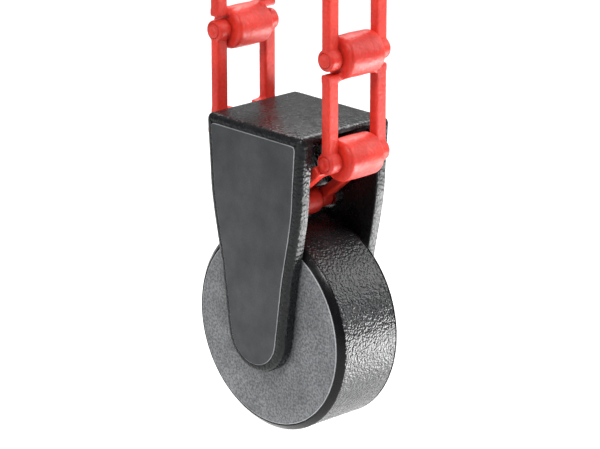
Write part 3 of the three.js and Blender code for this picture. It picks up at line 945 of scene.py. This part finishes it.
@dataclass
class Drum:
    """The drum case: two faces with black rims, a pebbled band, screws and the line's outlet."""

    datum: Datum
    radius: float = 63.5
    half: float = 25.0
    rim: float = 3.6
    band_half: float = 20.8
    face_r: float = 59.3
    bore_r: float = 7.3
    pebble: float = 0.0016
    pebble_depth: float = 0.42
    slot_half: Point = (12.3, 5.3)
    guide_half: Point = (12.0, 5.0)
    guide_z: Point = (-63.0, -50.0)
    mouth_half: Point = (10.0, 3.2)
    screw_circle: float = 53.0
    case_steps: int = 144
    tread_steps: int = 860
    tread_columns: int = 92

    def build(self) -> None:
        """Models all of the case that shows."""
        for word, sign in (("left", -1), ("right", 1)):
            self._face(word, sign)
            self._rim(word, sign)
        self._band()
        self._outlet()
        self._screws()

    def _face(self, word: str, sign: int) -> None:
        """Turns one grey face disc, with screw seats in the right one and a painted highlight on its outer
        edge.
        """
        x, r, b = self.half, self.face_r, self.bore_r
        profile = [(x - 3, b), (x - 0.4, b), (x, b + 0.4)]
        profile += [(x, 17.0), (x - 0.5, 17.5), (x - 0.5, 18.3), (x, 18.8)]
        profile += [(x, r - 0.5), (x - 0.15, r - 0.15), (x - 0.5, r), (x - 3, r), (x - 3, b)]
        disc = Bench.turned(f"{word}_face_disc", [(sign * px, pr) for px, pr in profile], self.case_steps)
        if sign > 0:
            for y, z in self._screw_places():
                seat = Bench.turned("seat", [(23.0, 0), (23.0, 3.7), (26.0, 3.7), (26.0, 0)], 28)
                Bench.carve(disc, Bench.settle(seat, Vector((0, y, z)) * MM))
        Bench.settle(disc, self.datum.axle)
        fit(Bench.smooth(disc), "drum_case", "case_shell", FACE_GREY)
        # Paints the disc's outer edge lighter, as a painted highlight line along the rim.
        z, edge, side = self.datum.axle.z / MM, self.face_r - 0.6, self.half - 0.6
        repaint(disc, FACE_EDGE_PAINTED_HIGHLIGHT, lambda c, n: math.hypot(c.y, c.z - z) > edge and abs(c.x) > side)

    def _rim(self, word: str, sign: int) -> None:
        """Turns one black rim, with a softened chamfer."""
        x, r, c = self.half, self.radius, self.rim
        profile = [(x - 3, self.face_r + 0.35), (x - 0.4, self.face_r + 0.35), (x - 0.1, self.face_r + 0.5)]
        profile += [(x - 0.15, r - c + 0.1), (x - 0.5, r - c + 0.55), (x - c + 0.6, r - 0.45)]
        profile += [(x - c + 0.1, r - 0.12), (self.band_half + 0.5, r - 0.02)]
        profile += [(self.band_half + 0.3, r - 0.25), (self.band_half + 0.3, self.face_r + 0.35)]
        profile += [(x - 3, self.face_r + 0.35)]
        ring = Bench.turned(f"{word}_rim_ring", [(sign * px, pr) for px, pr in profile], self.case_steps)
        Bench.settle(ring, self.datum.axle)
        fit(Bench.smooth(ring), "drum_case", "case_shell", RIM_BLACK, f"{word}_case")

    def _band(self) -> None:
        """Spins the band with a fine skin, raises its pebbles and cuts the line's slot."""
        x, r, columns = self.band_half, self.radius, self.tread_columns
        skin = [(-x + 2 * x * i / columns, r) for i in range(columns + 1)]
        skin[0], skin[-1] = (-x, r - 0.35), (x, r - 0.35)
        profile = [*skin, (x, r - 2.7), (-x, r - 2.7), skin[0]]
        band = Bench.turned("drum_tread", profile, self.tread_steps)
        texture = bpy.data.textures.new("pebbles", "VORONOI")
        texture.noise_scale = self.pebble
        texture.weight_1, texture.noise_intensity = 1.0, 1.0
        outer = band.vertex_groups.new(name="outer")
        floor = (r - 0.1) * MM
        index = [v.index for v in band.data.vertices if math.hypot(v.co.y, v.co.z) > floor]
        outer.add(index, 1.0, "REPLACE")
        Bench.modify(
            band, "DISPLACE", texture=texture, texture_coords="LOCAL", direction="NORMAL",
            mid_level=0.0, strength=-self.pebble_depth * MM, vertex_group="outer",
        )
        bpy.data.textures.remove(texture)
        hx, hy = self.slot_half
        Bench.carve(band, Bench.block("slot", (-hx, -hy, -r - 3), (hx, hy, self.guide_z[1])))
        Bench.settle(band, self.datum.axle)
        fit(Bench.smooth(band, 60.0), "drum_case", "band_skin", TREAD_RUBBER, "drum_band")

    def _outlet(self) -> None:
        """Shapes the guide that the line comes out through, with a flared mouth."""
        (hx, hy), (low, high), (mx, my) = self.guide_half, self.guide_z, self.mouth_half
        guide = Bench.block("outlet_guide", (-hx, -hy, low), (hx, hy, high))
        Bench.round_edges(guide, upright, 1.2, 4)
        mouth = Bench.block("mouth", (-mx, -my, low - 3), (mx, my, high + 10))
        Bench.round_edges(mouth, upright, 2.4, 6)
        Bench.carve(guide, mouth)

        def at_lip(a: Vector, b: Vector) -> bool:
            """Whether an edge runs round the mouth at its lower end."""
            wide, deep = max(abs(a.x), abs(b.x)), max(abs(a.y), abs(b.y))
            return max(a.z, b.z) < low + 0.1 and wide < mx + 0.1 and deep < my + 0.1

        Bench.round_edges(guide, at_lip, 1.0, 4)
        Bench.settle(guide, self.datum.axle)
        fit(Bench.smooth(guide), "drum_case", "outlet_guide", OUTLET_BLACK, "line_outlet")

    def _screw_places(self) -> list[Point]:
        """The four screws' places about the shaft."""
        turns = [math.radians(45 + 90 * i) for i in range(4)]
        return [(self.screw_circle * math.cos(t), self.screw_circle * math.sin(t)) for t in turns]

    def _screws(self) -> None:
        """Turns one slotted screw and copies it to its four places."""
        profile = [(-20.0, 0), (-20.0, 1.5), (-19.4, 1.9), (23.3, 1.9), (23.3, 3.2), (23.5, 3.4), (24.2, 3.4)]
        profile += [(24.5, 3.1), (24.7, 2.4), (24.75, 0)]
        master = Bench.turned("screw_master", profile, 28)
        Bench.carve(master, Bench.block("slot", (24.1, -2.6, -0.45), (26, 2.6, 0.45)))
        Bench.smooth(master)
        for i, (y, z) in enumerate(self._screw_places(), 1):
            screw = Bench.copy(master, f"case_screw_{i}_slotted")
            Bench.settle(screw, self.datum.axle + Vector((0, y, z)) * MM)
            fit(screw, "drum_case", "bare_steel", ZINC, f"case_screw_{i}")
        bpy.data.objects.remove(master)


# ---------------------------------------------------------------- anchor


@dataclass
class Anchor:
    """The plate that both chain runs are pinned to."""

    datum: Datum
    half: Point = (38.0, 68.0)
    thick: float = 8.0
    corner: float = 10.0
    bolt_x: float = 26.0
    bolt_r: float = 6.5
    pin_bore_r: float = 5.3
    ears: tuple[tuple[float, float, float, str], ...] = (
        (15.4, 24.0, 7.6, "front_run_swing"),
        (-24.0, -15.4, 7.6, "front_run_swing"),
        (-14.0, 14.0, 10.5, "back_run_swing"),
    )

    def build(self) -> None:
        """Models the plate with its ears, weld beads and bolt holes."""
        hx, hy = self.half
        plate = Bench.block("anchor_plate_welded", (-hx, -hy, -self.thick), (hx, hy, 0))
        Bench.round_edges(plate, upright, self.corner, 8)
        Bench.round_edges(plate, lambda a, b: abs(a.z - b.z) < NEAR, 0.7, 3)
        for sign in (-1, 1):
            hole = self._hole()
            Bench.carve(plate, Bench.settle(hole, Vector((sign * self.bolt_x * MM, 0, 0))))
        for x0, x1, r, joint in self.ears:
            Bench.carve(plate, self._ear(x0, x1, r, self.datum.joints[joint] / MM), "UNION")
        fit(Bench.smooth(plate), "anchor", "bare_steel", ZINC, "anchor_plate")
        self._beads()

    def _hole(self) -> Piece:
        """Turns a bolt hole's cutter with a small countersink, standing on end."""
        r, t = self.bolt_r, self.thick
        profile = [(-t - 1, 0), (-t - 1, r + 1.6), (-t + 0.6, r), (-0.6, r), (1, r + 1.6), (1, 0)]
        hole = Bench.turned("hole", profile, 48)
        hole.rotation_euler = (0.0, -math.pi / 2, 0.0)
        Bench.take(hole)
        bpy.ops.object.transform_apply(location=True, rotation=True, scale=True)
        return hole

    def _ear(self, x0: float, x1: float, r: float, joint: Vector) -> Piece:
        """Shapes one ear about a joint, with its bore.

        Args:
            x0: Where it starts along X.
            x1: Where it ends.
            r: Its rounded end's radius.
            joint: The joint's place, in millimetres.

        Returns:
            The ear.
        """
        outline = [*arc((joint.y, joint.z), r, 180, 360, 24), (joint.y + r, -4), (joint.y - r, -4)]
        ear = Bench.drawn("ear", outline, x0, x1)
        under = -self.thick
        Bench.round_edges(ear, lambda a, b: abs(a.x - b.x) < NEAR and max(a.z, b.z) < under, 0.6, 3)
        bore = Bench.turned("bore", [(-40, 0), (-40, self.pin_bore_r), (40, self.pin_bore_r), (40, 0)], 32)
        Bench.carve(ear, Bench.settle(bore, joint * MM))
        return ear

    def _beads(self) -> None:
        """Lays a rippled weld bead down both sides of every ear."""
        for number, (x0, x1, r, joint) in enumerate(self.ears, 1):
            y = self.datum.joints[joint].y / MM
            for word, sign in (("a", -1), ("b", 1)):
                self._bead(f"weld_bead_{number}{word}", x0 + 0.8, x1 - 0.8, y + sign * r)

    def _bead(self, name: str, x0: float, x1: float, y: float) -> None:
        """Turns one bead about a line along X, thick and thin by turns.

        Args:
            name: Its name.
            x0: Where it starts along X.
            x1: Where it ends.
            y: Where it runs.
        """
        count = max(6, int((x1 - x0) / 0.7))
        ripple = [(x0 + (x1 - x0) * i / count, 1.75 + 0.22 * (-1) ** i) for i in range(1, count)]
        bead = Bench.turned(name, [(x0 - 0.5, 0), (x0, 1.4), *ripple, (x1, 1.4), (x1 + 0.5, 0)], 20)
        Bench.settle(bead, Vector((0, y, -self.thick)) * MM)
        fit(Bench.smooth(bead, 70.0), "anchor", "bare_steel", ZINC)


# ---------------------------------------------------------------- inner works


@dataclass
class InnerWorks:
    """The solids that keep their own shape and only take a finish."""

    nodes: dict[str, Piece]

    FINISHES: ClassVar[dict[Finish, tuple[str, ...]]] = {
        ZINC: ("left_shaft_nut", "right_shaft_nut"),
        BRIGHT_STEEL: (
            "drum_shaft", "hanger_pin", "left_hanger_spacer", "right_hanger_spacer", "spring_cover",
            "ratchet_ring", "pawl_1", "pawl_2", "pawl_pin_1", "pawl_pin_2",
        ),
        BLUED_STEEL: (
            "power_spring", "pawl_spring_1", "pawl_spring_2", "left_hanger_clip", "right_hanger_clip",
        ),
        BRONZE: ("left_case_washer", "right_case_washer", "left_spool_bush", "right_spool_bush"),
        NYLON_GREY: ("spool", "spool_flange"),
        WEBBING_BLACK: ("wound_line",),
    }

    def dress(self) -> None:
        """Gives every kept solid its finish."""
        for finish, names in self.FINISHES.items():
            for name in names:
                node = self.nodes[name]
                node.data.materials.clear()
                node.data.materials.append(finish.material())
                LOG.info("%s: %s", name, finish.name)


# ---------------------------------------------------------------- studio


@dataclass
class Studio:
    """A pale floor, soft lights and the camera."""

    axle: Vector
    azimuth: float = -43.39
    elevation: float = 18.01
    distance: float = 1.8358
    lens: float = 181.1
    offset: Point = (-0.00129, -0.05784)
    sensor: float = 36.0
    reach: float = 200.0
    drum_r: float = 0.0635
    floor_drop: float = 0.30
    floor_size: float = 60.0

    # Each lamp's name, its place and the point it faces from the shaft, its size, and its watts.
    LAMPS: ClassVar[tuple[tuple[str, Triple, Triple, Point, float], ...]] = (
        ("over_back", (0.95, 1.0, 1.7), (0.75, 0.8, -0.3), (1.6, 1.6), 62.0),
        ("left", (-1.9, 0.5, 0.9), (0.0, 0.0, -0.1), (1.2, 1.2), 12.0),
        ("low_right", (0.42, -0.36, -0.22), (0.0, 0.0, -0.05), (0.5, 0.24), 4.4),
        ("high_right", (1.15, -0.70, 0.80), (0.0, 0.0, 0.0), (1.1, 1.1), 13.0),
        ("spark", (-0.75, -0.70, 1.30), (0.0, 0.0, 0.1), (0.35, 0.35), 14.0),
    )

    def build(self) -> None:
        """Sets up everything that isn't the object."""
        self._floor()
        self._sky()
        for lamp in self.LAMPS:
            self._light(*lamp)
        self._camera()
        bpy.context.scene.view_settings.view_transform = "Standard"

    def _floor(self) -> None:
        """Lays the pale floor."""
        Bench.clear()
        height = self.axle.z - self.drum_r - self.floor_drop
        bpy.ops.mesh.primitive_plane_add(size=self.floor_size, location=(0, 0, height))
        floor = bpy.context.object
        floor.name = "floor"
        paint = bpy.data.materials.new("floor_paint")
        paint.use_nodes = True
        shader = paint.node_tree.nodes["Principled BSDF"]
        shader.inputs["Base Color"].default_value = (0.93, 0.93, 0.93, 1.0)
        shader.inputs["Roughness"].default_value = 0.9
        floor.data.materials.append(paint)

    def _sky(self) -> None:
        """Lights the room: brighter behind the object and overhead, and dim behind the camera."""
        world = bpy.data.worlds.new("room")
        bpy.context.scene.world = world
        world.use_nodes = True
        tree = world.node_tree
        way = tree.nodes.new("ShaderNodeTexCoord").outputs["Generated"]
        parts = []
        for axis, source, target in (
            ((0.69, 0.72, 0.0), (-0.3, 0.95), (0.04, 0.34)),
            ((0.0, 0.0, 1.0), (0.25, 1.0), (0.0, 0.30)),
        ):
            dot = tree.nodes.new("ShaderNodeVectorMath")
            dot.operation = "DOT_PRODUCT"
            dot.inputs[1].default_value = axis
            tree.links.new(way, dot.inputs[0])
            spread = tree.nodes.new("ShaderNodeMapRange")
            for key, number in zip(("From Min", "From Max", "To Min", "To Max"), (*source, *target)):
                spread.inputs[key].default_value = number
            tree.links.new(dot.outputs["Value"], spread.inputs["Value"])
            parts.append(spread.outputs["Result"])
        total = tree.nodes.new("ShaderNodeMath")
        for socket, part in zip(total.inputs, parts):
            tree.links.new(part, socket)
        tree.links.new(total.outputs[0], tree.nodes["Background"].inputs["Strength"])
        tree.nodes["Background"].inputs["Color"].default_value = (1.0, 1.0, 1.0, 1.0)

    def _light(
        self,
        name: str,
        place: Triple,
        target: Triple,
        size: Point,
        power: float,
    ) -> None:
        """Hangs a soft light.

        Args:
            name: Its name.
            place: Where it hangs from the shaft, in metres.
            target: The point that it faces, from the shaft.
            size: Its width and height.
            power: Its power in watts.
        """
        data = bpy.data.lights.new(name, "AREA")
        data.shape, data.energy = "RECTANGLE", power
        data.size, data.size_y = size
        lamp = bpy.data.objects.new(name, data)
        lamp.location = self.axle + Vector(place)
        lamp.rotation_euler = (Vector(place) - Vector(target)).to_track_quat("Z", "Y").to_euler()
        bpy.context.scene.collection.objects.link(lamp)

    def _camera(self) -> None:
        """Stands the camera at its angle, a long lens away."""
        a, e = math.radians(self.azimuth), math.radians(self.elevation)
        right = Vector((math.cos(a), math.sin(a), 0.0))
        back = Vector((math.sin(a) * math.cos(e), -math.cos(a) * math.cos(e), math.sin(e)))
        up = back.cross(right)
        data = bpy.data.cameras.new("camera")
        data.lens, data.sensor_width, data.clip_end = self.lens, self.sensor, self.reach
        camera = bpy.data.objects.new("camera", data)
        place = self.axle + back * self.distance - right * self.offset[0] - up * self.offset[1]
        turn = Matrix((right, up, back)).transposed().to_4x4()
        camera.matrix_world = Matrix.Translation(place) @ turn
        bpy.context.scene.collection.objects.link(camera)
        bpy.context.scene.camera = camera


def main() -> None:
    """Loads the frame, builds every sub-assembly and logs each piece's face count."""
    logging.basicConfig(level=logging.INFO, format="%(name)s %(message)s")
    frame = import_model()
    datum = Datum.read(frame["record"])
    Studio(datum.axle).build()
    ChainRuns(datum, Link(), LinkPin()).build()
    Yoke(datum).build()
    Drum(datum).build()
    Anchor(datum).build()
    InnerWorks(frame["nodes"]).dress()
    Bench.clear()


if __name__ == "__main__":
    main()
